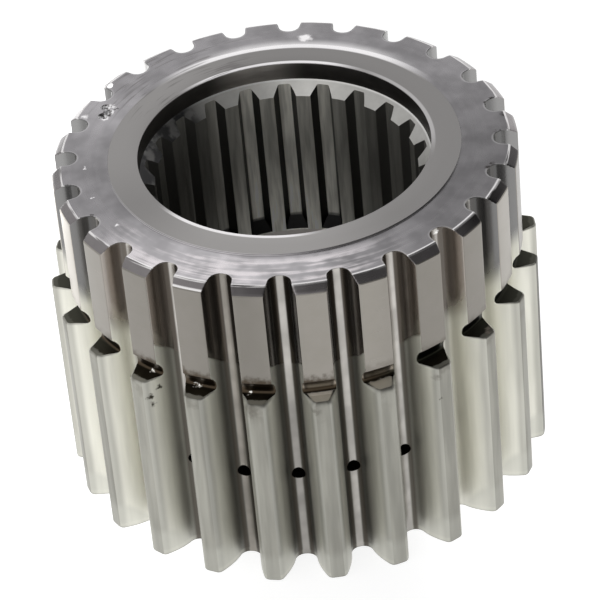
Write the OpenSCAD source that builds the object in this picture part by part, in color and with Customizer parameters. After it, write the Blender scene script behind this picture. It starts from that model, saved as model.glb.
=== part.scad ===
// Sun gear of a planetary drive, turned and cut from one piece of steel.
// Spur teeth stand at full depth over the lower part. Their upper ends are turned
// down to a shoulder, with a relief groove at its foot and a chamfer at the face.
// The bore has a blind involute spline under a shallow counterbore, whose mouth
// stands a little proud as a thrust band, and an oil hole comes out at the root of
// every tooth gap. A blow has left a crater in the upper face and a notch in the
// tooth beside it.
// The axis is Z and the lower face is at z = 0.

/* [Outer teeth] */
// Number of outer teeth
teeth = 24; // [22:1:30]
// Pitch diameter of the outer teeth
pitch_d = 76.2; // [73:0.1:80]
// Pressure angle of the outer teeth, in degrees
pressure_angle = 20; // [18:0.5:22]
// Height of the tips over the pitch circle
addendum = 2.7; // [2.3:0.05:3]
// Depth of the roots under the pitch circle
dedendum = 3.8; // [3.2:0.05:4]
// Radius of the fillet at each side of a root, at most a full round
root_fillet = 1.7; // [0.6:0.05:1.8]
// Radius of the rounded corner along each tip
tip_round = 1; // [0.3:0.05:1]
// Length of the teeth that stands at full depth
full_face_w = 37.2; // [32:0.1:50]
// Chamfer of the tips at the lower face
foot_chamfer = 0.3; // [0.2:0.05:1]

/* [Turned-down upper ends] */
// Length of the teeth that is turned down
crown_w = 21.3; // [14:0.1:26]
// Depth that is turned off the tips
crown_depth = 2.46; // [1.6:0.02:2.8]
// Chamfer of the full tips at the shoulder
shoulder_chamfer = 0.35; // [0.1:0.05:0.6]
// Width of the relief groove over the shoulder
relief_w = 2.7; // [2:0.1:4]
// Depth of the relief groove under the turned-down tips
relief_depth = 1.15; // [0.6:0.05:1.6]
// Fillet between the relief groove and the shoulder
relief_fillet = 0.5; // [0.2:0.05:0.8]
// Width of the chamfer at the upper face, measured along the radius
crown_chamfer_w = 1.5; // [0.8:0.05:2]
// Height of the chamfer at the upper face
crown_chamfer_h = 1.1; // [0.6:0.05:2]

/* [Bore and face] */
// Diameter of the bore, which is the spline's inner diameter too
bore_d = 43.5; // [42.5:0.05:44]
// Chamfer of the bore at the lower face
bore_chamfer = 1; // [0.4:0.1:2]
// Diameter of the counterbore at the upper face
counterbore_d = 48.2; // [47.6:0.1:52]
// Depth of the counterbore
counterbore_depth = 3.2; // [1.5:0.1:6]
// Slope of the cone that leads into the spline, in degrees from the axis
entry_angle = 50; // [35:1:60]
// Chamfer of the counterbore at the upper face
counterbore_chamfer = 0.15; // [0.1:0.05:0.6]
// Width of the raised band of the upper face round the counterbore
band_w = 4.95; // [3:0.05:6]
// Height of that band over the rest of the upper face
band_h = 0.3; // [0.1:0.05:0.8]

/* [Inner spline] */
// Number of inner spline teeth
spline_teeth = 22; // [22:1:22]
// Module of the spline
spline_module = 2; // [1.98:0.01:2.02]
// Pressure angle of the spline, in degrees
spline_angle = 30; // [28:0.5:32]
// Diameter of the bottoms of the spline's spaces
spline_major_d = 46.9; // [46.3:0.05:47.2]
// Width of a space on the spline's pitch circle
spline_space_w = 3.62; // [3.4:0.02:3.8]
// Radius of the corners at the bottom of a space
spline_corner = 0.3; // [0.1:0.05:0.4]
// Length of the spline under the counterbore
spline_len = 27.8; // [20:0.1:32]
// Length over which the spaces run out into the bore
runout_len = 2.3; // [1:0.1:4]

/* [Oil holes] */
// Diameter of the oil holes
oil_d = 2.3; // [1.5:0.1:3]
// Height of the oil holes over the lower face
oil_z = 17.9; // [8:0.1:21]

/* [Damage] */
// Angle of the struck tooth from the X axis, in degrees
struck_angle = 75; // [0:15:345]
// Width of the notch in the upper edge of the struck tooth
notch_w = 1.1; // [0.8:0.1:1.8]
// Distance of the notch's axis inside the edge of the upper face
notch_inset = 0.4; // [0.1:0.05:0.5]
// Flat knocked on the corner beside it, measured inwards from its edge
corner_flat = 0.8; // [0.3:0.1:1.2]
// Height of that flat
corner_flat_h = 4.5; // [2:0.5:8]
// Diameter of the balls that shape the crater
crater_ball_d = 2.2; // [1.6:0.1:3]
// Depth of the crater in the upper face
crater_depth = 0.5; // [0.2:0.05:0.8]
// Distance of the crater's middle inside the root circle
crater_inset = 1.6; // [1.2:0.1:2.2]

/* [Hidden] */
$fn = 96;
cut_over = 1;
flank_steps = 5;
arc_steps = 5;
flank_gap = 0.05;
tip_share = 0.75;
height = full_face_w + crown_w;
pitch_r = pitch_d / 2;
base_r = pitch_r * cos(pressure_angle);
tip_r = pitch_r + addendum;
root_r = pitch_r - dedendum;
crown_r = tip_r - crown_depth;
face_edge_r = crown_r - crown_chamfer_w;
relief_r = crown_r - relief_depth;
relief_arc_h = relief_w - relief_fillet;
relief_arc_r = (pow(relief_arc_h, 2) + pow(relief_depth, 2)) / (2 * relief_depth);
bore_r = bore_d / 2;
counterbore_r = counterbore_d / 2;
band_r = counterbore_r + band_w;
band_z = height + band_h;
entry_top_z = band_z - counterbore_depth;
entry_h = (counterbore_r - bore_r) / tan(entry_angle);
spline_pitch_r = spline_module * spline_teeth / 2;
spline_base_r = spline_pitch_r * cos(spline_angle);
spline_major_r = spline_major_d / 2;
spline_end_z = entry_top_z - spline_len;
// Direction of the blow, turned from the struck tooth's, and its slope, then the
// places of the notch and the crater, turned from the struck tooth too.
blow_turn = -48;
blow_slope = 40;
blow_len = 14;
notch_turn = 2.9;
crater_turns = [12.3, 14.3, 16.4];
crater_shifts = [0.3, -0.2, 0];

// Point at radius r and angle a.
function polar(r, a) = [r * cos(a), r * sin(a)];

// Arc about c, of radius r, from angle a to angle b.
function arc(c, r, a, b) =
    [for (i = [0 : arc_steps]) c + polar(r, a + (b - a) * i / arc_steps)];

// Involute of a pressure angle, in degrees.
function inv(a) = tan(a) * 180 / PI - a;

// Half angle of an involute tooth at radius r, from its half angle on the pitch circle.
function half_angle(r, base, pitch, half) =
    half + inv(acos(base / pitch)) - inv(acos(min(1, base / r)));

// One flank from radius r0 up to the tip, with its corner rounded by c, on the
// side of negative angles. It ends past the tip circle, so that a turned blank
// gives the tip its round top.
function flank(r0, base, pitch, half, tip, c) =
    let (
        round_r = tip - c,
        round_a = half_angle(round_r, base, pitch, half) - c / base * 180 / PI,
        centre = polar(round_r, -round_a),
        end_r = sqrt(pow(base, 2) + pow(sqrt(pow(round_r, 2) - pow(base, 2)) + c, 2)),
        end = polar(end_r, -half_angle(end_r, base, pitch, half)),
        from = end - centre
    )
    concat(
        [for (i = [0 : flank_steps - 1])
            let (r = r0 + (end_r - r0) * i / flank_steps)
            polar(r, -half_angle(r, base, pitch, half))],
        arc(centre, c, atan2(from[1], from[0]), -round_a),
        [polar(tip + cut_over, -round_a)]
    );

// Root floor and fillet on the side of negative angles, up to the foot of the flank.
function root_side(foot_a, root, c) =
    let (centre_a = foot_a + asin(c / (root + c)))
    arc(polar(root + c, -centre_a), c, 180 - centre_a, 90 - foot_a);

// A half outline and its mirror image, as one list of points that runs round.
function both_sides(half) =
    concat(half, [for (i = [len(half) - 1 : -1 : 0]) [half[i][0], -half[i][1]]]);

function turned(p, a) = [p[0] * cos(a) - p[1] * sin(a), p[0] * sin(a) + p[1] * cos(a)];

// One tooth's outline repeated round the axis.
module tooth_ring(outline, count, start) {
    polygon([for (k = [0 : count - 1]) for (p = outline) turned(p, start + k * 360 / count)]);
}

module outer_tooth_shape() {
    pitch_angle = 360 / teeth;
    half = pitch_angle / 4;
    foot_a = half_angle(base_r, base_r, pitch_r, half);
    gap_share = sin(pitch_angle / 2 - foot_a);
    fillet = min(root_fillet, root_r * gap_share / (1 - gap_share));
    foot_r = sqrt(pow(root_r + fillet, 2) - pow(fillet, 2));
    start_r = max(base_r, foot_r) + flank_gap;
    tip_half_w = tip_r * half_angle(tip_r, base_r, pitch_r, half) * PI / 180;
    tooth_ring(both_sides(concat(
        root_side(foot_a, root_r, fillet),
        flank(start_r, base_r, pitch_r, half, tip_r, min(tip_round, tip_share * tip_half_w)))),
        teeth, 0);
}

module spline_space_shape() {
    half = spline_space_w / 2 / spline_pitch_r * 180 / PI;
    inner_r = bore_r - cut_over;
    tooth_ring(both_sides(flank(inner_r, spline_base_r, spline_pitch_r, half,
        spline_major_r, spline_corner)), spline_teeth, 180 / spline_teeth);
}

// What the lathe leaves before the teeth are cut.
module turned_blank() {
    groove_z = full_face_w + relief_fillet;
    rotate_extrude() difference() {
        polygon([
            [0, 0], [tip_r - foot_chamfer, 0], [tip_r, foot_chamfer],
            [tip_r, full_face_w - shoulder_chamfer], [tip_r - shoulder_chamfer, full_face_w],
            [relief_r + relief_fillet, full_face_w], [relief_r + relief_fillet, groove_z],
            [crown_r, groove_z], [crown_r, height - crown_chamfer_h], [face_edge_r, height],
            [band_r, height], [band_r, band_z], [0, band_z]
        ]);
        translate([relief_r + relief_fillet, groove_z])
            circle(relief_fillet);
        intersection() {
            translate([relief_r + relief_arc_r, groove_z])
                circle(relief_arc_r);
            translate([relief_r - cut_over, groove_z])
                square([relief_arc_r + cut_over, relief_arc_r + cut_over]);
        }
    }
}

module toothed_blank() {
    intersection() {
        turned_blank();
        translate([0, 0, -cut_over])
            linear_extrude(height + 2 * cut_over) outer_tooth_shape();
    }
}

// Bore, cone and counterbore, as one turned cut.
module turned_bore() {
    rotate_extrude() polygon([
        [0, -cut_over], [bore_r + bore_chamfer + cut_over, -cut_over],
        [bore_r, bore_chamfer], [bore_r, entry_top_z - entry_h],
        [counterbore_r, entry_top_z], [counterbore_r, band_z - counterbore_chamfer],
        [counterbore_r + counterbore_chamfer, band_z],
        [counterbore_r + counterbore_chamfer, band_z + cut_over], [0, band_z + cut_over]
    ]);
}

// Spaces of the spline, blind at their lower ends.
module spline_spaces() {
    intersection() {
        rotate_extrude() polygon([
            [0, spline_end_z - runout_len], [bore_r, spline_end_z - runout_len],
            [spline_major_r, spline_end_z], [spline_major_r, entry_top_z],
            [0, entry_top_z]
        ]);
        translate([0, 0, spline_end_z - runout_len - cut_over])
            linear_extrude(height) spline_space_shape();
    }
}

// One radial hole at the middle of every tooth gap.
module oil_holes() {
    for (k = [0 : teeth - 1])
        rotate([0, 90, (k + 0.5) * 360 / teeth])
            translate([-oil_z, 0, bore_r - cut_over])
                cylinder(h = tip_r - bore_r + cut_over, d = oil_d, $fn = 32);
}

// Notch across the struck tooth's upper edge, which leaves the corner as a small horn.
module notch() {
    corner = polar(face_edge_r - notch_inset, struck_angle + notch_turn);
    translate([corner[0], corner[1], height])
        rotate([0, 90 + blow_slope, struck_angle + blow_turn])
            cylinder(h = blow_len, d = notch_w, center = true, $fn = 32);
}

// Flat beside the notch, along the direction of the blow.
module knocked_flat() {
    edge = polar(crown_r, struck_angle + half_angle(crown_r, base_r, pitch_r, 90 / teeth));
    translate([edge[0], edge[1], height - corner_flat_h])
        rotate([0, 0, struck_angle + blow_turn])
            translate([-crown_depth, -corner_flat, 0])
                cube([2 * crown_depth, corner_flat + crown_depth, corner_flat_h + cut_over]);
}

// Crater in the upper face beside the struck tooth.
module crater() {
    for (i = [0 : len(crater_turns) - 1])
        rotate([0, 0, struck_angle + crater_turns[i]])
            translate([root_r - crater_inset + crater_shifts[i] * crater_ball_d, 0,
                height + crater_ball_d / 2 - crater_depth])
                sphere(d = crater_ball_d);
}

module sun_gear() {
    color("darkgray") difference() {
        toothed_blank();
        turned_bore();
        spline_spaces();
        oil_holes();
        notch();
        knocked_flat();
        crater();
    }
}

sun_gear();
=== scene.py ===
"""Looks of the sun gear: a worn one-piece steel gear on a pale floor in soft studio light.

The gear's surface is one closed mesh, laid out as rings of points. The rings start at the lower
end face, climb the outer teeth, cross the upper face, go down through the bore and close again
on the lower face. Every ring has the same number of points, so neighbours join into quads.
"""

import math

import bmesh
import bpy
import numpy as np
from mathutils import Matrix, Vector, noise


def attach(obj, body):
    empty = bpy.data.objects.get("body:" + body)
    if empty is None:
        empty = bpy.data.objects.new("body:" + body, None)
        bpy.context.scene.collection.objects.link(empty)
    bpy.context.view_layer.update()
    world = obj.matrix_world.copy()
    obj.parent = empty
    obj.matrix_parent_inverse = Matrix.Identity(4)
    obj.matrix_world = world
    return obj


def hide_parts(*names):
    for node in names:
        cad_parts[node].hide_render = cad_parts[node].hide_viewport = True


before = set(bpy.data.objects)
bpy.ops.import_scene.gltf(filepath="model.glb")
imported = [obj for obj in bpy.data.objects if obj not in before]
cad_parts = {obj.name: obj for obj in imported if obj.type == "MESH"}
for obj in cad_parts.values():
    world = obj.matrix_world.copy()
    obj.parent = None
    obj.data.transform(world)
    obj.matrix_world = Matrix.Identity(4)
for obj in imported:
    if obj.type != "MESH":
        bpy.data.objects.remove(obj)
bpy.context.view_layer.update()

MM = 0.001
NODE = "sun_gear"

# Outer teeth, in millimetres
TEETH = 24
PITCH_R = 38.1
PRESSURE_ANGLE = math.radians(20)
ADDENDUM = 2.7
DEDENDUM = 3.8
ROOT_FILLET = 1.7
TIP_ROUND = 1.0
FULL_FACE_W = 37.2
CROWN_W = 21.3
CROWN_DEPTH = 2.46
RELIEF_W = 2.7
RELIEF_DEPTH = 1.15
RELIEF_FILLET = 0.5
CROWN_CHAMFER_W = 1.5
CROWN_CHAMFER_H = 1.1

# Bore and upper face, in millimetres
BORE_R = 21.75
BORE_CHAMFER = 1.0
COUNTERBORE_R = 24.1
COUNTERBORE_DEPTH = 3.2
COUNTERBORE_CHAMFER = 0.15
ENTRY_ANGLE = math.radians(50)
BAND_W = 4.95
BAND_H = 0.3

# Inner spline, in millimetres
SPLINE_TEETH = 22
SPLINE_MODULE = 2.0
SPLINE_ANGLE = math.radians(30)
SPLINE_MAJOR_R = 23.45
SPLINE_SPACE_W = 3.62
SPLINE_CORNER = 0.3
SPLINE_LEN = 27.8
RUNOUT_LEN = 2.3

# Oil holes, in millimetres
OIL_D = 2.3
OIL_Z = 17.9

# Damage from a blow beside one tooth, in millimetres and degrees
STRUCK_ANGLE = 75
BLOW_TURN = -48
BLOW_SLOPE = 40
NOTCH_W = 1.1
NOTCH_INSET = 0.4
NOTCH_LEN = 14
NOTCH_TURN = 2.9
CORNER_FLAT = 0.8
CORNER_FLAT_H = 4.5
CRATER_BALL_D = 2.2
CRATER_DEPTH = 0.5
CRATER_INSET = 1.6
CRATER_SPOTS = ((12.3, 0.3), (14.3, -0.2), (16.4, 0.0))
CRATER_SWELL = 0.12
CRATER_GRAIN = 1.6

# How far the cutters of the holes and the knocked corner reach past the steel, in millimetres
CUT_OVER = 1

# Sizes that follow from those above, in millimetres
HEIGHT = FULL_FACE_W + CROWN_W
BAND_Z = HEIGHT + BAND_H
CROWN_Z = FULL_FACE_W + RELIEF_W
BEVEL_Z = HEIGHT - CROWN_CHAMFER_H
BASE_R = PITCH_R * math.cos(PRESSURE_ANGLE)
TIP_R = PITCH_R + ADDENDUM
ROOT_R = PITCH_R - DEDENDUM
CROWN_R = TIP_R - CROWN_DEPTH
FACE_EDGE_R = CROWN_R - CROWN_CHAMFER_W
FACE_INNER_R = ROOT_R - 1.2
RELIEF_R = CROWN_R - RELIEF_DEPTH
RELIEF_ARC_H = RELIEF_W - RELIEF_FILLET
RELIEF_ARC_R = (RELIEF_ARC_H ** 2 + RELIEF_DEPTH ** 2) / (2 * RELIEF_DEPTH)
BAND_R = COUNTERBORE_R + BAND_W
ENTRY_TOP_Z = BAND_Z - COUNTERBORE_DEPTH
SPLINE_PITCH_R = SPLINE_MODULE * SPLINE_TEETH / 2
SPLINE_BASE_R = SPLINE_PITCH_R * math.cos(SPLINE_ANGLE)
SPLINE_END_Z = ENTRY_TOP_Z - SPLINE_LEN

# Rounding of the edges, in millimetres: machined ones, the ends of the full teeth, and the
# radius over which an inset sets in. The turns of a rounded end are in degrees.
EDGE = 0.12
FOOT_EDGE = 0.3
SHOULDER_EDGE = 0.3
INSET_FADE = 0.4
ROUND_TURNS = (0, 25, 50, 75, 90)

# Faces that meet at more than this angle have a sharp edge between them
SHARP_ANGLE = math.radians(28)

# Lengths that differ by less than this are the same, and steps shorter than this are left out
SAME = 1e-6
SHORT = 0.01

# The shoulder is worn most on these teeth, counted from the X axis, and by this much more. The
# wear is full where its peak is over 1, and falls by this much for each tooth further on.
WORN_TEETH = (13, 14, 15)
WORN_DROP = 0.7
WORN_INSET = 0.35
WEAR_PEAK = 1.3
WEAR_FALL = 3

# Intervals of half an outer tooth, from the middle of its tip to the middle of the gap
LAND_STEPS = 4
CORNER_STEPS = 3
FLANK_RADII = (39.7, 39.1, 38.6, 38.05, 37.5, 37.0, 36.5, 36.1)
FILLET_STEPS = 6
ROOT_STEPS = 1
HALF_TOOTH = LAND_STEPS + CORNER_STEPS + len(FLANK_RADII) + FILLET_STEPS + ROOT_STEPS
RING = 2 * HALF_TOOTH * TEETH

# Steps up the full teeth and the relief groove, and sides of the round cutters
PLAIN_STEPS = 10
RELIEF_FILLET_STEPS = 4
RELIEF_ARC_STEPS = 6
HOLE_SIDES = 40
NOTCH_SIDES = 28

# Places of the rings that only divide a plain surface, in millimetres or as shares of it
LAND_RINGS_Z = (CROWN_Z + 0.6, 45, 49, 53, BEVEL_Z - 0.5)
CHAMFER_SHARES = (0.08, 0.35, 0.65, 0.9)
FACE_SHARES = (0.4, 1)
FACE_RING_R = 31.5
BAND_RING_R = 26.8
BORE_RINGS_Z = (21, 15)
LOWER_RING_R = 28

# Intervals of half a spline tooth, from the middle of its land to the middle of the space
HALF_SPLINE = RING // (2 * SPLINE_TEETH)
SPLINE_LAND_STEPS = 8
SPLINE_FLANK_STEPS = 6
SPLINE_CORNER_STEPS = 3

# The gap between two teeth at the upper face: middle and half width of its round bottom, and
# how much wider it gets for each millimetre further out
GAP_ROUND_R = 36.0
GAP_HALF_W = 1.83
GAP_FLARE = 0.24

# The side of the gear that looks at the camera, in degrees
FRONT_ANGLE = -158

# Small marks on the upper face: radius, angle, size and softness of each
FACE_WHITES = ((32.8, 117.5, 0.3), (33.0, 132.7, 0.28), (32.6, 148.3, 0.3), (32.0, 17.4, 1.0, 0.5),
               (33.2, 86.4, 0.5, 0.3), (32.4, 86.4, 0.4, 0.3), (32.3, 92.3, 0.6, 0.3),
               (35.6, 93.2, 0.5, 0.3))
FACE_DARKS = ((34.9, -50.5, 0.4, 0.2), (31.7, 90.9, 0.28), (31.5, 86.7, 0.25),
              (36.3, 124.6, 0.3), (35.6, 124.9, 0.3), (34.9, 125.2, 0.25), (34.6, 140.3, 0.3),
              (35.9, -49.6, 0.5, 0.3), (36.9, -57.5, 0.6, 0.4), (34.8, -65.6, 0.4, 0.3),
              (35.3, -64.5, 0.35, 0.3), (34.2, -81.3, 0.45, 0.3), (34.6, -79.6, 0.35, 0.3))

# Dents on the teeth under the shoulder and painted shade below it, painted gleams and flakes in the
# pockets over it: radius, angle, size, softness and height of each
DENTS = ((38.3, 168.6, 0.4, 0.25, 35.2), (39.95, 167.6, 0.45, 0.25, 34.0),
         (39.6, 167.8, 0.4, 0.3, 32.4), (40.8, -121.5, 0.2, 0.2, 31.0),
         (36.6, 167.8, 0.5, 0.25, 1.5), (35.7, 168.6, 0.45, 0.25, 1.6))
PAINTED_SHADES = ((40.5, -166.0, 1.0, 0.9, 36.3), (40.5, -151.5, 0.6, 0.6, 35.6),
          (39.6, 177.6, 0.5, 0.6, 35.2), (40.6, -122.0, 0.5, 0.6, 35.4))
POCKET_FLAKES = ((39.6, -103.6, 0.5, 0.3, 37.3), (40.1, -104.6, 0.4, 0.3, 37.2),
                 (38.6, -103.2, 0.4, 0.3, 38.6))
POCKET_GLEAMS = ((37.6, 166.4, 0.38, 0.15, 37.45), (37.6, 178.7, 0.36, 0.15, 37.5),
                 (37.6, 179.5, 0.36, 0.15, 37.4), (37.6, -167.2, 0.3, 0.15, 37.4))

# How far the edges of these marks stray, in millimetres
RAGGED = 1.6

# The same as for the dents, for one painted glint at the top of a gap
GAP_GLEAM = (34.4, -112.0, 0.4, 0.3, 57.8)

# How the tone changes round the gear: angle, half width and softness in degrees, and what is added
# there. On the faces, lands, chamfers, bore wall and cone this is painted light and shade, lighter
# where a reflection is bright and darker where it is dim; on the land stain it is how strong the
# stain is.
FACE_TONES = ((-176, 26, 18, 0.85), (88, 14, 12, 0.38), (40, 30, 20, 0.1), (-82, 34, 22, -0.32))
BAND_TONES = ((-165, 34, 20, 0.35), (90, 40, 20, 0.18))
MOUTH_TONES = ((30, 32, 10, 1.0), (-40, 30, 10, 0.3), (-176, 28, 8, 0.9))
LAND_TONES = ((-145, 14, 8, 0.3), (-90, 6, 6, 0.35), (131, 9, 5, 1.3), (150, 8, 5, 0.15))
LAND_STAIN_TONES = ((-172, 26, 6, 0.65),)
CHAMFER_TONES = ((-86, 20, 6, -1.0), (-165, 6, 3, -0.75), (140, 48, 6, -0.42),
                 (106, 14, 5, -0.3))
WALL_TONES = ((36, 12, 10, 4.5), (-42, 16, 8, -0.4))
CONE_TONES = ((55, 45, 20, 0.5),)
CONE_RIM_TONES = ((50, 30, 12, 0.65),)

# How the painted reflection on the smooth flanks changes away from the front, darkest at the front:
# from and to in degrees, tone before and after
SMOOTH_STEPS = ((5, 42, 0.105, 0.38), (52, 62, 1.0, 0.6), (75, 90, 1.0, 1.2))

# Arcs round the gear where something shows: angle, half width and softness in degrees
HIGHLIGHT_STREAK_ARC = (-168, 36, 14)
BACK_HIGHLIGHT_ARC = (20, 40, 14)
GLOW_ARC = (18, 30, 14)
SCUFF_ARC = (62, 26, 12)
BAND_WALL_HIGHLIGHT_ARC = (-165, 62, 14)
FACE_EDGE_HIGHLIGHT_ARC = (-145, 62, 10)
BEVEL_HIGHLIGHT_ARC = (180, 6, 2)
DARK_ROOT_ARC = (-172.5, 4, 2)
DIMMED_ROOT_ARC = (-157.5, 5, 3)
SHADED_TIP_ARC = (-75, 7, 5)
RUBBED_ARC = (-143, 13, 3)
PARTLY_RUBBED_ARC = (-165, 5, 2)
CRESCENT_ARC = (-149, 4, 1.5)
FAR_ARC = (FRONT_ANGLE + 180, 128, 8)
BORE_LIT_ARC = (27, 26, 16)
CONE_SHADE_ARC = (112, 50, 10)

# Radii, heights and distances from a gap's middle between which looks change, in millimetres
STREAK_R = (29, 31.5)
GAP_RIM_R = (33, 34)
UPPER_FACE_Z = (50, 51)
SMOOTH_Z = 43.7
SMOOTH_ROOT_R = (34.6, 37.2)
MATT_ROOT_R = (34.6, 37.6)
TIP_SIDE_R = (39.3, 40.3)
FLANK_R = (34.5, 40.0)
FOOT_RIM_Z = (0.5, 1.1)
FOOT_LINE_Z = (0.15, 0.4)
GUTTER_ASIDE = (0.68, 1.35)
GUTTER_R = (35.3, 36.2)
STRIP_ASIDE = (0.42, 0.72)
STRIP_Z = (30, 40)
TIP_STAIN_Z = (32, 37)
TIP_FOOT_Z = (3.6, 6.4)
RELIEF_LIP_Z = (37.7, 38.2)
WORN_R = (39.5, 39.9)
CRESCENT_R = (37.7, 38.5)
PLAIN_BORE_Z = (40, 50)
SPLINE_LOW_Z = (28, 44)

# Colours of the steel, of the painted highlights, reflections and shade on it, and of its stains
# and wear. A pair is mixed in blotches.
FACE_COLOUR = (0.285, 0.275, 0.285)
BAND_COLOUR = (0.3, 0.29, 0.285)
# Painted highlights on the upper face; the second also whitens its small bright marks
STREAK_HIGHLIGHT = (0.85, 0.8, 0.82)
FACE_HIGHLIGHT_AND_MARK_WHITE = (0.95, 0.93, 0.94)
FACE_DARK = (0.05, 0.045, 0.045)
SCUFF_DARK = (0.13, 0.12, 0.12)
LAND_COLOURS = ((0.27, 0.255, 0.225), (0.31, 0.29, 0.265))
LAND_STAIN = (0.06, 0.045, 0.03)
CHAMFER_COLOURS = ((0.2, 0.185, 0.19), (0.28, 0.265, 0.265))
# Painted highlight along the chamfer's edges
CHAMFER_HIGHLIGHT = (0.9, 0.88, 0.88)
# Smooth upper flanks, darkened by painted reflection in the materials
SMOOTH_COLOURS = ((0.98, 0.88, 0.78), (1.08, 1.0, 0.92))
SMOOTH_GREY = (0.92, 0.91, 0.9)
MATT_COLOUR = (0.47, 0.465, 0.42)
# Painted reflection of the floor at the foot, and painted highlight on its rounded edge
MATT_FOOT_REFLECTION = (0.55, 0.55, 0.5)
FOOT_RIM_HIGHLIGHT = (0.8, 0.79, 0.7)
# Painted shade along the lower edge of the teeth
FOOT_LINE_SHADE = (0.12, 0.12, 0.1)
# Painted shadow beside the roots
GUTTER_SHADE = (0.08, 0.068, 0.055)
# Painted highlight along the roots, lit and shaded
ROOT_HIGHLIGHT_COLOURS = ((0.5, 0.48, 0.45), (0.3, 0.28, 0.25))
DENT_DARK = (0.05, 0.045, 0.035)
# Dark of the stains on the tips and of the painted shade under the shoulder
STAIN_AND_SHADE_DARK = (0.12, 0.11, 0.09)
TIP_COLOUR = (0.33, 0.325, 0.29)
TIP_FOOT_REFLECTION = (0.5, 0.5, 0.46)
# Painted shade in the pockets over the shoulder, and on the groove's wall
POCKET_SHADE_COLOURS = ((0.01, 0.008, 0.005), (0.05, 0.042, 0.028))
RELIEF_COLOURS = ((0.06, 0.045, 0.03), (0.2, 0.175, 0.14))
RELIEF_SHADE = (0.02, 0.02, 0.014)
RELIEF_LIP = (0.3, 0.26, 0.21)
WORN_COLOURS = ((0.42, 0.41, 0.36), (0.75, 0.73, 0.66))
# Painted shade on the pockets away from the front
FAR_POCKET_SHADE = (0.08, 0.08, 0.062)
FLAKE = (0.4, 0.35, 0.3)
# White of the painted gleams, and of the worn crescent
GLEAM = (1.0, 0.98, 0.93)
# White of painted glints
GLINT_WHITE = (1.0, 1.0, 0.98)
BORE_COLOURS = ((0.1, 0.095, 0.09), (0.17, 0.16, 0.15))
CONE_COLOURS = ((0.7, 0.69, 0.66), (0.95, 0.94, 0.9))
# Painted shade on one side of the cone
CONE_SHADE = (0.03, 0.03, 0.032)
SPLINE_COLOUR = (0.95, 0.93, 0.84)
# Painted shade inside the oil holes
HOLE_SHADE_COLOURS = ((0.01, 0.009, 0.008), (0.04, 0.035, 0.03))
DENT_COLOURS = ((0.15, 0.14, 0.14), (0.9, 0.89, 0.9))

# Surface finishes, in the order of the piece's material slots
SKINS = ("face", "land", "chamfer", "flank", "tip", "shoulder", "bore", "cone", "spline",
         "hole", "dent")
SKIN = {name: k for k, name in enumerate(SKINS)}
BORE_KINDS = ("cone", "spline", "bore")


def involute(angle):
    return math.tan(angle) - angle


def polar(r, angle):
    return np.array([r * math.cos(angle), r * math.sin(angle)])


def arc(centre, r, start, end, steps):
    """Points along an arc, without its first one."""
    return [centre + polar(r, start + (end - start) * k / steps) for k in range(1, steps + 1)]


class Flank:
    """An involute flank: base circle, pitch circle and the half angle that the tooth has there."""

    def __init__(self, base_r, pitch_r, half):
        self.base_r = base_r
        self.at_base = half + involute(math.acos(base_r / pitch_r))

    def half(self, r):
        """Half angle of the tooth at radius r."""
        return self.at_base - involute(math.acos(min(1, self.base_r / r)))

    def corner(self, tip_r, c, steps):
        """End angle of the tip land, the arc down to the flank, and the radius where it ends."""
        round_r = tip_r - c
        round_a = self.half(round_r) - c / self.base_r
        touch_r = math.hypot(self.base_r, math.sqrt(round_r ** 2 - self.base_r ** 2) + c)
        centre = polar(round_r, round_a)
        out = polar(touch_r, self.half(touch_r)) - centre
        return round_a, arc(centre, c, round_a, math.atan2(out[1], out[0]), steps), touch_r


OUTER = Flank(BASE_R, PITCH_R, math.pi / 2 / TEETH)
SPACE = Flank(SPLINE_BASE_R, SPLINE_PITCH_R, SPLINE_SPACE_W / 2 / SPLINE_PITCH_R)


def half_tooth(tip_r, corner):
    """Half an outer tooth cut off at tip_r, and the index of the point where its flank starts."""
    land_end, rounded, touch_r = OUTER.corner(tip_r, corner, CORNER_STEPS)
    flank = [polar(r, OUTER.half(r)) for r in FLANK_RADII if r < touch_r - SHORT]
    land_steps = HALF_TOOTH - len(rounded) - len(flank) - FILLET_STEPS - ROOT_STEPS
    land = [polar(tip_r, land_end * k / land_steps) for k in range(land_steps + 1)]
    foot_a = OUTER.half(BASE_R)
    fillet_a = foot_a + math.asin(ROOT_FILLET / (ROOT_R + ROOT_FILLET))
    fillet = arc(polar(ROOT_R + ROOT_FILLET, fillet_a), ROOT_FILLET,
                 foot_a - math.pi / 2, fillet_a - math.pi, FILLET_STEPS)
    gap_a = math.pi / TEETH
    root = [polar(ROOT_R, fillet_a + (gap_a - fillet_a) * k / ROOT_STEPS)
            for k in range(1, ROOT_STEPS + 1)]
    return np.array(land + rounded + flank + fillet + root), land_steps + len(rounded)


def around(angle, radius, count):
    """Angles and radii of a whole ring from those of half a tooth, mirrored and repeated."""
    pitch = 2 * math.pi / count
    one_angle = np.concatenate([angle, pitch - angle[1:-1][::-1]])
    one_radius = np.concatenate([radius, radius[1:-1][::-1]])
    turns = np.repeat(np.arange(count) * pitch, len(one_angle))
    return np.tile(one_angle, count) + turns, np.tile(one_radius, count)


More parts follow.
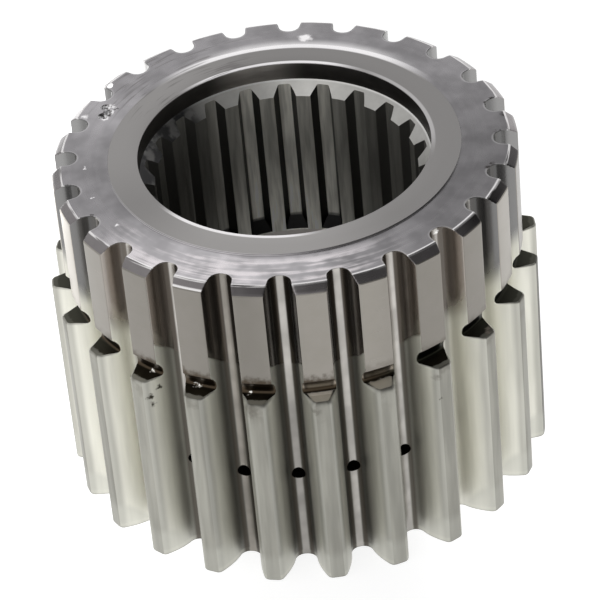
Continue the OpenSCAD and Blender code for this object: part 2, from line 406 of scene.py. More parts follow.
class Ring:
    """One ring of points, with the index in the half tooth up to which it is tip or land."""

    def __init__(self, angle, radius, z, touch=0):
        self.flat = np.stack([radius * np.cos(angle), radius * np.sin(angle)], 1)
        self.radius = radius
        self.z = np.broadcast_to(z, RING).astype(float)
        self.touch = touch

    def inset(self, depth, over=0.0):
        """Moves the ring into the steel, beyond radius over where that is given."""
        along = np.roll(self.flat, -1, 0) - np.roll(self.flat, 1, 0)
        along /= np.linalg.norm(along, axis=1)[:, None]
        inward = np.stack([-along[:, 1], along[:, 0]], 1)
        share = np.clip((self.radius - over) / INSET_FADE, 0, 1)
        self.flat = self.flat + inward * (depth * share)[:, None]
        return self

    def points(self):
        return np.column_stack([self.flat, self.z])


def tooth_ring(tip_r, z, corner=EDGE):
    half, touch = half_tooth(tip_r, corner)
    angle, radius = around(np.arctan2(half[:, 1], half[:, 0]),
                           np.hypot(half[:, 0], half[:, 1]), TEETH)
    return Ring(angle, radius, z, touch)


def spline_outline():
    """Angle and radius of every point on the outline of the splined bore."""
    pitch_a = math.pi / SPLINE_TEETH
    floor_half, rounded, touch_r = SPACE.corner(SPLINE_MAJOR_R, SPLINE_CORNER,
                                                SPLINE_CORNER_STEPS)
    land_end = pitch_a - SPACE.half(BORE_R)
    angle = [land_end * k / SPLINE_LAND_STEPS for k in range(SPLINE_LAND_STEPS + 1)]
    radius = [BORE_R] * len(angle)
    for k in range(1, SPLINE_FLANK_STEPS + 1):
        r = BORE_R + (touch_r - BORE_R) * k / SPLINE_FLANK_STEPS
        angle.append(pitch_a - SPACE.half(r))
        radius.append(r)
    for p in [*rounded[-2::-1], polar(SPLINE_MAJOR_R, floor_half)]:
        angle.append(pitch_a - math.atan2(p[1], p[0]))
        radius.append(float(np.hypot(p[0], p[1])))
    floor_steps = HALF_SPLINE - len(angle) + 1
    start = angle[-1]
    for k in range(1, floor_steps + 1):
        angle.append(start + (pitch_a - start) * k / floor_steps)
        radius.append(SPLINE_MAJOR_R)
    return around(np.array(angle), np.array(radius), SPLINE_TEETH)


SPLINE_A, SPLINE_R = spline_outline()
CUT_RADII = sorted(set(np.round(SPLINE_R, 9)))


def bore_ring(radius, z):
    """A ring of the bore, which keeps to the spline's angles. It is no narrower than radius."""
    return Ring(SPLINE_A, np.broadcast_to(radius, RING).astype(float), z)


def face_ring(outline, radius, z, share):
    """A ring of an end face, at a share of the way from a toothed outline to a circle."""
    circle = Ring(SPLINE_A, np.full(RING, radius), z)
    circle.flat = outline.flat * (1 - share) + circle.flat * share
    return circle


def shoulder_wear():
    """How worn each point of a ring is at the shoulder, from 0 to 1."""
    place = np.arange(RING) / (2 * HALF_TOOTH)
    wear = np.zeros(RING)
    for tooth in WORN_TEETH:
        wear = np.maximum(wear, np.clip(WEAR_PEAK - WEAR_FALL * abs(place - tooth), 0, 1))
    return wear


def foot_rings():
    """The rounded lower end of the teeth."""
    rings = []
    for turn in ROUND_TURNS[:-1]:
        a = math.radians(turn)
        rings.append((tooth_ring(TIP_R, FOOT_EDGE * (1 - math.cos(a)), TIP_ROUND)
                      .inset(FOOT_EDGE * (1 - math.sin(a))), "full"))
    return rings


def shoulder_rings():
    """The worn upper ends of the full teeth, the shoulder and the relief groove over it."""
    wear = shoulder_wear()
    rings = []
    for turn in ROUND_TURNS:
        a = math.radians(turn)
        z = FULL_FACE_W - (SHOULDER_EDGE + WORN_DROP * wear) * (1 - math.sin(a))
        ring = tooth_ring(TIP_R, z, TIP_ROUND)
        ring.inset((SHOULDER_EDGE + WORN_INSET * wear) * (1 - math.cos(a)), RELIEF_R)
        rings.append((ring, "full" if turn < 90 else "shoulder"))
    for k in range(RELIEF_FILLET_STEPS):
        a = math.pi / 2 * k / RELIEF_FILLET_STEPS
        rings.append((tooth_ring(RELIEF_R + RELIEF_FILLET * (1 - math.sin(a)),
                                 FULL_FACE_W + RELIEF_FILLET * (1 - math.cos(a))), "shoulder"))
    whole = math.asin(RELIEF_ARC_H / RELIEF_ARC_R)
    for k in range(RELIEF_ARC_STEPS):
        a = whole * k / RELIEF_ARC_STEPS
        rings.append((tooth_ring(RELIEF_R + RELIEF_ARC_R * (1 - math.cos(a)),
                                 FULL_FACE_W + RELIEF_FILLET + RELIEF_ARC_R * math.sin(a)),
                      "shoulder"))
    return rings


def outer_rings():
    """The outside from the lower face to the upper one, as rings and the finish above each."""
    rings = foot_rings()
    rise = FULL_FACE_W - SHOULDER_EDGE - WORN_DROP * shoulder_wear() - FOOT_EDGE
    for k in range(PLAIN_STEPS):
        z = FOOT_EDGE + rise * k / PLAIN_STEPS
        rings.append((tooth_ring(TIP_R, z, TIP_ROUND), "full"))
    rings += shoulder_rings()
    slope = CROWN_CHAMFER_W / CROWN_CHAMFER_H
    for z in (CROWN_Z + EDGE / 3, *LAND_RINGS_Z, BEVEL_Z - EDGE):
        rings.append((tooth_ring(CROWN_R, z), "crown"))
    for share in CHAMFER_SHARES:
        rings.append((tooth_ring(CROWN_R - CROWN_CHAMFER_W * share,
                                 BEVEL_Z + CROWN_CHAMFER_H * share), "chamfer"))
    rings += [
        (tooth_ring(FACE_EDGE_R + EDGE * slope / 4, HEIGHT - EDGE / 4).inset(EDGE / 3),
         "chamfer"),
        (tooth_ring(FACE_EDGE_R - EDGE / 3, HEIGHT).inset(EDGE), "face"),
    ]
    return rings


def upper_face_rings(outline):
    """The upper face, its raised band and the mouth of the counterbore."""
    rings = [(face_ring(outline, FACE_INNER_R, HEIGHT, share), "face")
             for share in FACE_SHARES]
    for radius, z in (
            (FACE_RING_R, HEIGHT), (BAND_R + EDGE / 2, HEIGHT), (BAND_R, HEIGHT + EDGE / 2),
            (BAND_R, BAND_Z - EDGE / 2), (BAND_R - EDGE / 2, BAND_Z), (BAND_RING_R, BAND_Z),
            (COUNTERBORE_R + COUNTERBORE_CHAMFER, BAND_Z)):
        rings.append((bore_ring(radius, z), "face"))
    return rings


def bore_rings():
    """The bore from the counterbore down to the lower face."""
    fall = 1 / math.tan(ENTRY_ANGLE)
    rings = [
        (bore_ring(COUNTERBORE_R + COUNTERBORE_CHAMFER / 4, BAND_Z - COUNTERBORE_CHAMFER / 4),
         "face"),
        (bore_ring(COUNTERBORE_R, BAND_Z - COUNTERBORE_CHAMFER), "bore"),
        (bore_ring(COUNTERBORE_R, ENTRY_TOP_Z), "cone"),
    ]
    for r in CUT_RADII[::-1]:
        z = ENTRY_TOP_Z - (COUNTERBORE_R - r) * fall
        rings.append((bore_ring(np.maximum(SPLINE_R, r), z), "cone" if r > BORE_R else "spline"))
    middle = (rings[-1][0].z + SPLINE_END_Z) / 2
    rings.append((bore_ring(SPLINE_R, middle), "spline"))
    run = RUNOUT_LEN / (SPLINE_MAJOR_R - BORE_R)
    for r in CUT_RADII[::-1]:
        z = SPLINE_END_Z - (SPLINE_MAJOR_R - r) * run
        rings.append((bore_ring(np.minimum(SPLINE_R, r), z), "spline" if r > BORE_R else "bore"))
    for radius, z in (
            *[(BORE_R, z) for z in BORE_RINGS_Z], (BORE_R, BORE_CHAMFER + EDGE),
            (BORE_R + EDGE, BORE_CHAMFER - EDGE / 2),
            (BORE_R + BORE_CHAMFER - EDGE / 2, EDGE / 2), (BORE_R + BORE_CHAMFER + EDGE, 0)):
        rings.append((bore_ring(radius, z), "bore" if z > 0 else "face"))
    return rings


def lower_face_rings(outline):
    rings = [(bore_ring(LOWER_RING_R, 0), "face")]
    rings += [(face_ring(outline, FACE_INNER_R, 0, share), "face")
              for share in FACE_SHARES[::-1]]
    return rings


def band_skins(lower, upper, kind):
    """The finish of each quad between two rings, by its place in the half tooth."""
    place = (np.arange(RING) % (2 * HALF_TOOTH)) + 0.5
    place = np.minimum(place, 2 * HALF_TOOTH - place)
    land = {"full": "tip", "crown": "land", "chamfer": "chamfer", "shoulder": "shoulder"}
    if kind not in land:
        return np.full(RING, SKIN[kind])
    reach = {"full": LAND_STEPS + 1, "crown": upper.touch, "shoulder": upper.touch,
             "chamfer": min(lower.touch, upper.touch) + 1}[kind]
    return np.where(place < reach, SKIN[land[kind]], SKIN["flank"])


def split_along_cut(a, b, c, d, on_cut):
    """A quad as two triangles whose shared side follows the edge between cone and spline."""
    if on_cut[a] and on_cut[c]:
        return [(a, b, c), (a, c, d)]
    if on_cut[b] and on_cut[d]:
        return [(a, b, d), (b, c, d)]
    return [(a, b, c, d)]


def gear_mesh():
    """The whole gear as one closed mesh in metres, with a finish for each face."""
    outer = outer_rings()
    rows = [*outer, *upper_face_rings(outer[-1][0]), *bore_rings(), *lower_face_rings(outer[0][0])]
    points = np.vstack([ring.points() for ring, _ in rows]) * MM
    radii = np.array([np.hypot(*ring.flat.T) for ring, _ in rows])
    is_bore = np.array([[kind in BORE_KINDS] for _, kind in rows])
    past_spline = radii - SPLINE_R
    near = np.minimum(radii - radii.min(1, keepdims=True), radii.max(1, keepdims=True) - radii)
    on_cut = (is_bore & (abs(past_spline) < SAME) & (near < SAME)).ravel()
    past_spline = past_spline.ravel()
    faces, skins = [], []
    for j, (ring, kind) in enumerate(rows):
        above = (j + 1) % len(rows)
        chosen = band_skins(ring, rows[above][0], kind)
        for i in range(RING):
            after = (i + 1) % RING
            a, b = j * RING + i, j * RING + after
            d, c = above * RING + i, above * RING + after
            cut_here = kind in BORE_KINDS and SPLINE_R[i] != SPLINE_R[after]
            parts = split_along_cut(a, b, c, d, on_cut) if cut_here else [(a, b, c, d)]
            for part in parts:
                skin = chosen[i]
                if kind == "cone":
                    is_cone = past_spline[list(part)].mean() > 100 * SAME
                    skin = SKIN["cone"] if is_cone else SKIN["spline"]
                faces.append(part)
                skins.append(skin)
    mesh = bpy.data.meshes.new("sun_gear_skin")
    mesh.from_pydata(points.tolist(), [], faces)
    mesh.polygons.foreach_set("material_index", np.array(skins, np.int32))
    work = bmesh.new()
    work.from_mesh(mesh)
    bmesh.ops.remove_doubles(work, verts=work.verts, dist=SAME)
    bmesh.ops.recalc_face_normals(work, faces=work.faces)
    work.to_mesh(mesh)
    work.free()
    return mesh


def add_object(name, data):
    made = bpy.data.objects.new(name, data)
    bpy.context.scene.collection.objects.link(made)
    return made


def mesh_of(work, name):
    mesh = bpy.data.meshes.new(name)
    work.to_mesh(mesh)
    work.free()
    return mesh


def rod(work, d, length, sides, matrix):
    """A round bar along its own Z axis, in millimetres."""
    bmesh.ops.create_cone(work, cap_ends=True, segments=sides, radius1=d / 2 * MM,
                          radius2=d / 2 * MM, depth=length * MM, matrix=matrix)


def oil_holes(work):
    length = TIP_R - BORE_R + 2 * CUT_OVER
    for k in range(TEETH):
        turn = Matrix.Rotation((k + 0.5) * 2 * math.pi / TEETH, 4, "Z")
        place = Matrix.Translation(Vector((BORE_R - CUT_OVER + length / 2, 0, OIL_Z)) * MM)
        lay = Matrix.Rotation(math.pi / 2, 4, "Y")
        rod(work, OIL_D, length, HOLE_SIDES, turn @ place @ lay)


def blow_direction():
    return Matrix.Rotation(math.radians(STRUCK_ANGLE + BLOW_TURN), 4, "Z")


def notch(work):
    spot = polar(FACE_EDGE_R - NOTCH_INSET, math.radians(STRUCK_ANGLE + NOTCH_TURN)) * MM
    tilt = Matrix.Rotation(math.radians(90 + BLOW_SLOPE), 4, "Y")
    place = Matrix.Translation((*spot, HEIGHT * MM))
    rod(work, NOTCH_W, NOTCH_LEN, NOTCH_SIDES, place @ blow_direction() @ tilt)


def knocked_flat(work):
    struck = math.radians(STRUCK_ANGLE)
    edge = polar(CROWN_R, struck + OUTER.half(CROWN_R))
    size = Vector((2 * CROWN_DEPTH, CORNER_FLAT + CROWN_DEPTH, CORNER_FLAT_H + CUT_OVER))
    middle = Matrix.Translation(Vector((0, (CROWN_DEPTH - CORNER_FLAT) / 2, size.z / 2)) * MM)
    place = Matrix.Translation(Vector((edge[0], edge[1], HEIGHT - CORNER_FLAT_H)) * MM)
    bmesh.ops.create_cube(work, size=1, matrix=place @ blow_direction() @ middle
                          @ Matrix.Diagonal((*(size * MM), 1)))


def crater_ball(turn, shift):
    """One of the rough balls that leave the crater in the upper face."""
    def build(work):
        spot = polar(ROOT_R - CRATER_INSET + shift * CRATER_BALL_D,
                     math.radians(STRUCK_ANGLE + turn))
        middle = Vector((*spot, HEIGHT + CRATER_BALL_D / 2 - CRATER_DEPTH)) * MM
        made = bmesh.ops.create_icosphere(work, subdivisions=4, radius=CRATER_BALL_D / 2 * MM,
                                          matrix=Matrix.Translation(middle))
        for vert in made["verts"]:
            out = (vert.co - middle).normalized()
            swell = noise.fractal(vert.co / MM * CRATER_GRAIN, 0.7, 2.0, 3) * CRATER_SWELL * MM
            vert.co += out * swell
    return build


def cut(piece, name, build, skin):
    """Takes what build() makes out of the piece. The cut faces have the finish skin."""
    work = bmesh.new()
    build(work)
    for face in work.faces:
        face.material_index = SKIN[skin]
    cutter = add_object(name, mesh_of(work, name))
    step = piece.modifiers.new("cut", "BOOLEAN")
    step.operation = "DIFFERENCE"
    step.solver = "EXACT"
    step.object = cutter
    graph = bpy.context.evaluated_depsgraph_get()
    done = bpy.data.meshes.new_from_object(piece.evaluated_get(graph))
    piece.modifiers.clear()
    piece.data = done
    bpy.data.objects.remove(cutter)


class Nodes:
    """Short ways to build a shader. A value may be a number, a colour or a node's output."""

    def __init__(self, owner):
        owner.use_nodes = True
        self.tree = owner.node_tree
        self.tree.nodes.clear()

    def put(self, socket, value):
        if isinstance(value, bpy.types.NodeSocket):
            self.tree.links.new(value, socket)
        elif isinstance(value, tuple) and socket.type == "RGBA":
            socket.default_value = (*value, 1)
        else:
            socket.default_value = value

    def add(self, kind, settings=None, **inputs):
        node = self.tree.nodes.new("ShaderNode" + kind)
        for name, value in (settings or {}).items():
            setattr(node, name, value)
        for name, value in inputs.items():
            self.put(node.inputs[name.replace("_", " ")], value)
        return node

    def apply(self, kind, operation, values):
        node = self.add(kind, {"operation": operation})
        for socket, value in zip(node.inputs, values):
            self.put(socket, value)
        return node.outputs

    def math(self, operation, *values):
        return self.apply("Math", operation, values)[0]

    def vectors(self, operation, *values):
        """The outputs of a vector node: a vector as the first, or a number as Value."""
        return self.apply("VectorMath", operation, values)

    def chain(self, operation, values):
        result = values[0]
        for value in values[1:]:
            result = self.math(operation, result, value)
        return result

    def total(self, *values):
        return self.chain("ADD", values)

    def product(self, *values):
        return self.chain("MULTIPLY", values)

    def most(self, *values):
        return self.chain("MAXIMUM", values)

    def fade(self, value, low, high, start=0.0, end=1.0):
        """A smooth step of value from low to high."""
        node = self.add("MapRange", {"interpolation_type": "SMOOTHSTEP"}, Value=value,
                        From_Min=low, From_Max=high, To_Min=start, To_Max=end)
        return node.outputs["Result"]

    def window(self, value, low, high, soft):
        """1 between low and high, with soft ends."""
        return self.product(self.fade(value, low - soft, low + soft),
                            self.fade(value, high - soft, high + soft, 1.0, 0.0))

    def mixed(self, kind, first, share, a, b):
        node = self.add("Mix", {"data_type": kind, "clamp_factor": True})
        for k, value in ((0, share), (first, a), (first + 1, b)):
            self.put(node.inputs[k], value)
        return node.outputs

    def mix(self, share, a, b):
        """Two colours mixed."""
        return self.mixed("RGBA", 6, share, a, b)[2]

    def blend(self, share, a, b):
        """Two numbers mixed."""
        return self.mixed("FLOAT", 2, share, a, b)[0]

    def shade(self, colour, tone):
        """A colour times a number."""
        node = self.add("VectorMath", {"operation": "SCALE"}, Vector=colour, Scale=tone)
        return node.outputs[0]

    def noise(self, place, scale, detail=3.0, roughness=0.55):
        node = self.add("TexNoise", Vector=place, Scale=scale, Detail=detail,
                        Roughness=roughness)
        return node.outputs["Fac"]


class Steel:
    """A metal finish. It knows the place on the gear in millimetres: x, y, z, the distance r
    from the axis, and the angle round the axis in degrees."""

    def __init__(self, name):
        self.material = bpy.data.materials.new(name)
        self.n = n = Nodes(self.material)
        where = n.add("TexCoord").outputs["Object"]
        self.place = n.add("VectorMath", {"operation": "SCALE"}, Vector=where,
                           Scale=1 / MM).outputs[0]
        split = n.add("SeparateXYZ", Vector=self.place)
        self.x, self.y, self.z = split.outputs
        self.r = n.math("SQRT", n.total(n.product(self.x, self.x), n.product(self.y, self.y)))
        self.angle = n.math("MULTIPLY", n.math("ARCTAN2", self.y, self.x), math.degrees(1))
        ragged = n.add("TexNoise", Vector=self.place, Scale=1.4, Detail=2.0).outputs["Color"]
        stray = (RAGGED, RAGGED, RAGGED)
        self.ragged_place = n.vectors("MULTIPLY_ADD", ragged, stray, self.place)[0]

    def turned_marks(self, fine, spread=6.0):
        """Marks that run round the axis, such as those of a lathe. They have no seam."""
        n = self.n
        x, y = [n.product(n.math("DIVIDE", way, self.r), spread) for way in (self.x, self.y)]
        place = n.add("CombineXYZ", X=x, Y=y, Z=n.product(n.total(self.r, self.z), fine))
        return n.noise(place.outputs[0], 1.0, 2.0, 0.6)

    def axial_marks(self, fine, along=0.03):
        """Marks that run along the axis, such as those of a grinding wheel or a hob."""
        place = self.n.vectors("MULTIPLY", self.place, (fine, fine, fine * along))[0]
        return self.n.noise(place, 1.0, 2.0, 0.6)

    def blotches(self, scale, detail=3.0):
        return self.n.noise(self.place, scale, detail)

    def waver(self, scale, size, detail=3.0):
        """A slow change to and fro, of about size in all."""
        n = self.n
        return n.product(n.math("SUBTRACT", self.blotches(scale, detail), 0.5), size)

    def off_from(self, angle, every=360):
        """Degrees round the axis from an angle, which may come again every so many degrees."""
        n = self.n
        turned = n.math("MODULO", n.math("ADD", self.angle, 360 + every / 2 - angle), every)
        return n.math("ABSOLUTE", n.math("SUBTRACT", turned, every / 2))

    def near(self, angle, wide, soft):
        """1 within wide degrees of an angle."""
        return self.n.fade(self.off_from(angle), wide - soft, wide + soft, 1.0, 0.0)

    def aside(self):
        """Distance from the middle of the nearest gap between two teeth, in millimetres."""
        n = self.n
        off_tooth = self.off_from(0, 360 / TEETH)
        return n.product(n.math("SUBTRACT", 180 / TEETH, off_tooth), self.r, math.radians(1))

    def gap_edge(self):
        """Distance on the upper face from the nearest gap between two teeth, in millimetres."""
        n = self.n
        aside = self.aside()
        over = n.math("SUBTRACT", self.r, GAP_ROUND_R)
        above = n.math("MAXIMUM", over, 0.0)
        below = n.math("MINIMUM", over, 0.0)
        reach = n.math("SQRT", n.total(n.product(aside, aside), n.product(below, below)))
        return n.math("SUBTRACT", reach, n.total(GAP_HALF_W, n.product(above, GAP_FLARE)))

    def spot(self, r, angle, size, soft=0.12, z=HEIGHT):
        """1 in a round spot on the gear, in millimetres and degrees."""
        n = self.n
        x, y = polar(r, math.radians(angle))
        middle = tuple(at + RAGGED / 2 for at in (x, y, z))
        away = n.vectors("DISTANCE", self.ragged_place, middle)["Value"]
        return n.fade(away, size - soft, size + soft, 1.0, 0.0)

    def spots(self, marks):
        return self.n.most(0.0, *[self.spot(*mark) for mark in marks])

    def tone(self, plain, patches):
        """A tone that is plain but for patches, each an angle, its two widths and what it adds."""
        parts = [self.n.product(more, self.near(*place)) for *place, more in patches]
        return self.n.total(plain, *parts)

    def marked(self, base):
        """The dents, the painted shade under the shoulder and the painted shade along the lower
        edge that flanks and tips have in common.
        """
        n = self.n
        base = n.mix(self.spots(DENTS), base, DENT_DARK)
        # Painted shade under the shoulder.
        base = n.mix(n.product(self.spots(PAINTED_SHADES), 0.6), base, STAIN_AND_SHADE_DARK)
        # Painted shade along the lower edge, where the teeth stand on the floor.
        return n.mix(n.fade(self.z, *FOOT_LINE_Z, 0.6, 0.0), base, FOOT_LINE_SHADE)

    def finish(self, colour, roughness, height, strength, distance=0.02, metallic=1.0):
        n = self.n
        bump = n.add("Bump", Strength=strength, Distance=distance * MM, Height=height)
        shader = n.add("BsdfPrincipled", Base_Color=colour, Metallic=metallic,
                       Roughness=roughness, Normal=bump.outputs[0])
        n.add("OutputMaterial", Surface=shader.outputs[0])
        return self.material


# Each of these takes a Steel s with its nodes n, and returns the material


def face_steel(s, n):
    """Upper and lower face: ground, then smeared and scratched in use. Its tone round the gear is
    painted reflection, and painted highlights lie on its rims and edges.
    """
    rings = s.turned_marks(fine=1.3, spread=5.0)
    smear = n.blend(0.25, s.turned_marks(fine=0.9, spread=2.0), s.blotches(0.4, 1.5))
    cloud = s.blotches(0.2, 2.0)
    # Painted reflection: the tone rises and falls round the gear.
    tone = n.product(s.tone(0.92, FACE_TONES), n.fade(cloud, 0.3, 0.7, 0.86, 1.14))
    # Painted highlight streaks on the outer face at the front.
    streak = n.product(n.fade(smear, 0.44, 0.62), s.near(*HIGHLIGHT_STREAK_ARC), n.fade(s.r, *STREAK_R))
    outer = n.mix(n.product(streak, 0.8), n.shade(FACE_COLOUR, tone), STREAK_HIGHLIGHT)
    # Painted reflection: the band is lighter in two places round the gear.
    band = n.shade(BAND_COLOUR, s.tone(0.8, BAND_TONES))
    on_band = n.product(n.fade(s.r, BAND_R - 0.08, BAND_R + 0.08, 1.0, 0.0),
                        n.fade(s.z, *UPPER_FACE_Z))
    base = n.mix(on_band, outer, band)
    # Painted highlights: an arc round the band at the back, a line on the band's wall, a glow
    # beyond the band, the mouth's rim, the rims of the gaps and the chamfer's edge. The small white
    # spots that join them are marks.
    arc_light = n.product(n.window(s.r, BAND_R - 0.35, BAND_R + 1.2, 0.2), s.near(*BACK_HIGHLIGHT_ARC))
    wall = n.product(n.window(s.r, BAND_R - 0.06, BAND_R + 0.12, 0.04), s.near(*BAND_WALL_HIGHLIGHT_ARC),
                     0.3)
    glow = n.product(n.fade(s.r, BAND_R + 0.6, BAND_R + 3.0, 0.7, 0.0), s.near(*GLOW_ARC),
                     n.math("SUBTRACT", 1.0, on_band))
    mouth = n.product(n.window(s.r, COUNTERBORE_R, COUNTERBORE_R + 0.7, 0.12),
                      s.tone(0.0, MOUTH_TONES))
    rim = n.product(n.fade(s.gap_edge(), 0.12, 0.38, 1.0, 0.0), n.fade(s.r, *GAP_RIM_R), 0.15)
    edge = n.product(n.fade(s.r, FACE_EDGE_R - 0.45, FACE_EDGE_R - 0.2), s.near(*FACE_EDGE_HIGHLIGHT_ARC))
    white = n.most(arc_light, glow, wall, mouth, rim, edge, s.spots(FACE_WHITES))
    base = n.mix(white, base, FACE_HIGHLIGHT_AND_MARK_WHITE)
    scuff = n.product(n.fade(s.turned_marks(fine=1.8, spread=3.5), 0.55, 0.66),
                      s.near(*SCUFF_ARC), 0.55)
    base = n.mix(scuff, base, SCUFF_DARK)
    base = n.mix(s.spots(FACE_DARKS), base, FACE_DARK)
    rough = n.blend(on_band, n.fade(smear, 0.35, 0.65, 0.36, 0.24), 0.3)
    return s.finish(base, rough, rings, strength=0.05)


def land_steel(s, n):
    """Turned-down tips of the teeth, stained at their lower ends, with painted highlights in their
    tone round the gear.
    """
    marks = s.turned_marks(fine=3.0)
    # Painted light: the tone round the gear holds painted highlights, brightest on the lands at one
    # side.
    base = n.shade(n.mix(s.blotches(0.25), *LAND_COLOURS), s.tone(0.76, LAND_TONES))
    ragged = n.total(s.z, s.waver(0.9, 3.0))
    low = n.fade(ragged, CROWN_Z, CROWN_Z + 1.6, 1.0, 0.0)
    base = n.mix(n.product(low, s.tone(0.25, LAND_STAIN_TONES)), base, LAND_STAIN)
    return s.finish(base, n.blend(marks, 0.24, 0.36), marks, strength=0.1)


def chamfer_steel(s, n):
    """Chamfer of the upper face, darkened round much of the gear by painted reflection, with lines
    of painted highlight along its edges.
    """
    marks = s.turned_marks(fine=4.0)
    # Painted reflection: the tone falls round the gear where the chamfer would reflect dark
    # surroundings.
    base = n.shade(n.mix(s.blotches(0.4), *CHAMFER_COLOURS), s.tone(1.25, CHAMFER_TONES))
    # Painted highlight lines along the upper edge and, at one tooth, the lower edge.
    upper = n.product(n.fade(s.z, HEIGHT - 0.2, HEIGHT - 0.08), n.fade(marks, 0.35, 0.5), 0.8)
    lower = n.product(n.window(s.z, BEVEL_Z, BEVEL_Z + 0.3, 0.08), s.near(*BEVEL_HIGHLIGHT_ARC), 0.9)
    base = n.mix(n.most(upper, lower), base, CHAMFER_HIGHLIGHT)
    return s.finish(base, n.blend(marks, 0.2, 0.32), marks, strength=0.1)


def flank_steel(s, n):
    """Sides and roots of the teeth, with much painted light and shade. The upper ends are smoother
    and darker; that dark is painted reflection.
    """
    marks = s.axial_marks(fine=1.6)
    streaks = s.axial_marks(fine=0.5, along=0.1)
    wander = s.waver(0.12, 4.0, 1.0)
    off = s.off_from(FRONT_ANGLE)

    # The line between the smooth and the rougher part slants like the edge of a reflection; above
    # it the colour is the smooth part's painted reflection.
    over = n.total(s.z, wander, n.product(0.75, n.math("SUBTRACT", CROWN_R, s.r)))
    spread = n.fade(off, 30, 50, 0.2, 2.5)
    upper = n.fade(over, n.math("SUBTRACT", SMOOTH_Z, spread), n.math("ADD", SMOOTH_Z, spread))
    # Painted reflection: dark at the front and lighter away from it, and painted shade towards the
    # root.
    smooth = n.mix(n.fade(off, 45, 65), n.mix(s.blotches(0.3), *SMOOTH_COLOURS), SMOOTH_GREY)
    smooth = n.shade(smooth, n.product(*[n.fade(off, *step) for step in SMOOTH_STEPS]))
    smooth = n.shade(smooth, n.fade(s.r, *SMOOTH_ROOT_R, 0.45, 1.0))

    # Painted light and shade on the rougher lower flanks: lighter away from the front, darker
    # towards the root and towards the tip's edge.
    depth = n.fade(s.r, *MATT_ROOT_R, n.fade(off, 25, 42, 0.28, 0.9), 1.0)
    matt_tone = n.product(n.fade(off, 25, 50, 1.18, 1.6), n.fade(streaks, 0.3, 0.7, 0.93, 1.07),
                          depth, n.fade(s.r, *TIP_SIDE_R, 1.0, 0.65))
    matt = n.shade(MATT_COLOUR, matt_tone)
    # Painted reflection of the floor lightens the foot of the flanks, and a painted highlight lies
    # on its rounded edge.
    foot_top = n.fade(s.r, *FLANK_R, 0.4, 5.2)
    over_foot = n.math("SUBTRACT", s.z, foot_top)
    foot = n.fade(n.total(over_foot, n.product(wander, 0.3)), -0.9, 0.9, 1.0, 0.0)
    matt = n.mix(n.product(foot, 0.55), matt, MATT_FOOT_REFLECTION)
    matt = n.mix(n.product(n.window(s.z, *FOOT_RIM_Z, 0.2), 0.15), matt, FOOT_RIM_HIGHLIGHT)
    base = n.mix(upper, matt, smooth)

    # Painted shadow in a narrow band on each side of the root, where a gap's sides meet.
    gutter_shade = n.product(n.window(s.aside(), *GUTTER_ASIDE, 0.18),
                       n.fade(s.r, *GUTTER_R, 1.0, 0.0), n.fade(off, 35, 60, 0.8, 0.15))
    base = n.mix(gutter_shade, base, GUTTER_SHADE)
    # Painted highlight along the middle of each root, darker at some angles and higher up by
    # painted shade.
    strip = n.product(n.fade(s.aside(), *STRIP_ASIDE, 1.0, 0.0), n.fade(off, 50, 80, 1.0, 0.3))
    low_tone = n.blend(s.near(*DIMMED_ROOT_ARC), 0.85, 0.6)
    strip_tone = n.product(n.fade(s.blotches(0.2, 2.0), 0.3, 0.7, 0.85, 1.15),
                           n.fade(s.z, *STRIP_Z, low_tone, 1.0))
    root = n.shade(n.mix(s.near(*DARK_ROOT_ARC), *ROOT_HIGHLIGHT_COLOURS), strip_tone)
    base = n.mix(strip, base, root)
    # A painted glint at the top of one gap.
    base = n.mix(s.spot(*GAP_GLEAM), base, GLINT_WHITE)
    base = s.marked(base)
    rough = n.blend(upper, n.blend(marks, 0.42, 0.6), n.blend(marks, 0.18, 0.3))
    return s.finish(base, n.blend(strip, rough, 0.35), marks, strength=0.12)


def tip_steel(s, n):
    """Tips of the full teeth, rubbed and stained, with painted shade away from the front and near
    one side, and painted reflection at the foot.
    """
    marks = s.axial_marks(fine=1.6)
    streaks = s.axial_marks(fine=0.5, along=0.1)
    # Painted shade: the tips darken away from the front and near one place round the gear.
    tip_shade = n.math("SUBTRACT", 1.0, n.product(0.6, s.near(*SHADED_TIP_ARC)))
    tone = n.product(n.fade(streaks, 0.3, 0.7, 0.85, 1.15),
                     n.fade(s.off_from(FRONT_ANGLE), 20, 60, 0.97, 0.9), tip_shade)
    stain = n.product(n.fade(s.blotches(0.35), 0.45, 0.66), n.fade(s.z, *TIP_STAIN_Z), 0.4)
    base = n.mix(stain, n.shade(TIP_COLOUR, tone), STAIN_AND_SHADE_DARK)
    # Painted reflection of the floor lightens the foot of the tips.
    base = n.mix(n.product(n.fade(s.z, *TIP_FOOT_Z, 1.0, 0.0), 0.3), base, TIP_FOOT_REFLECTION)
    base = s.marked(base)
    return s.finish(base, n.blend(marks, 0.38, 0.55), marks, strength=0.08)


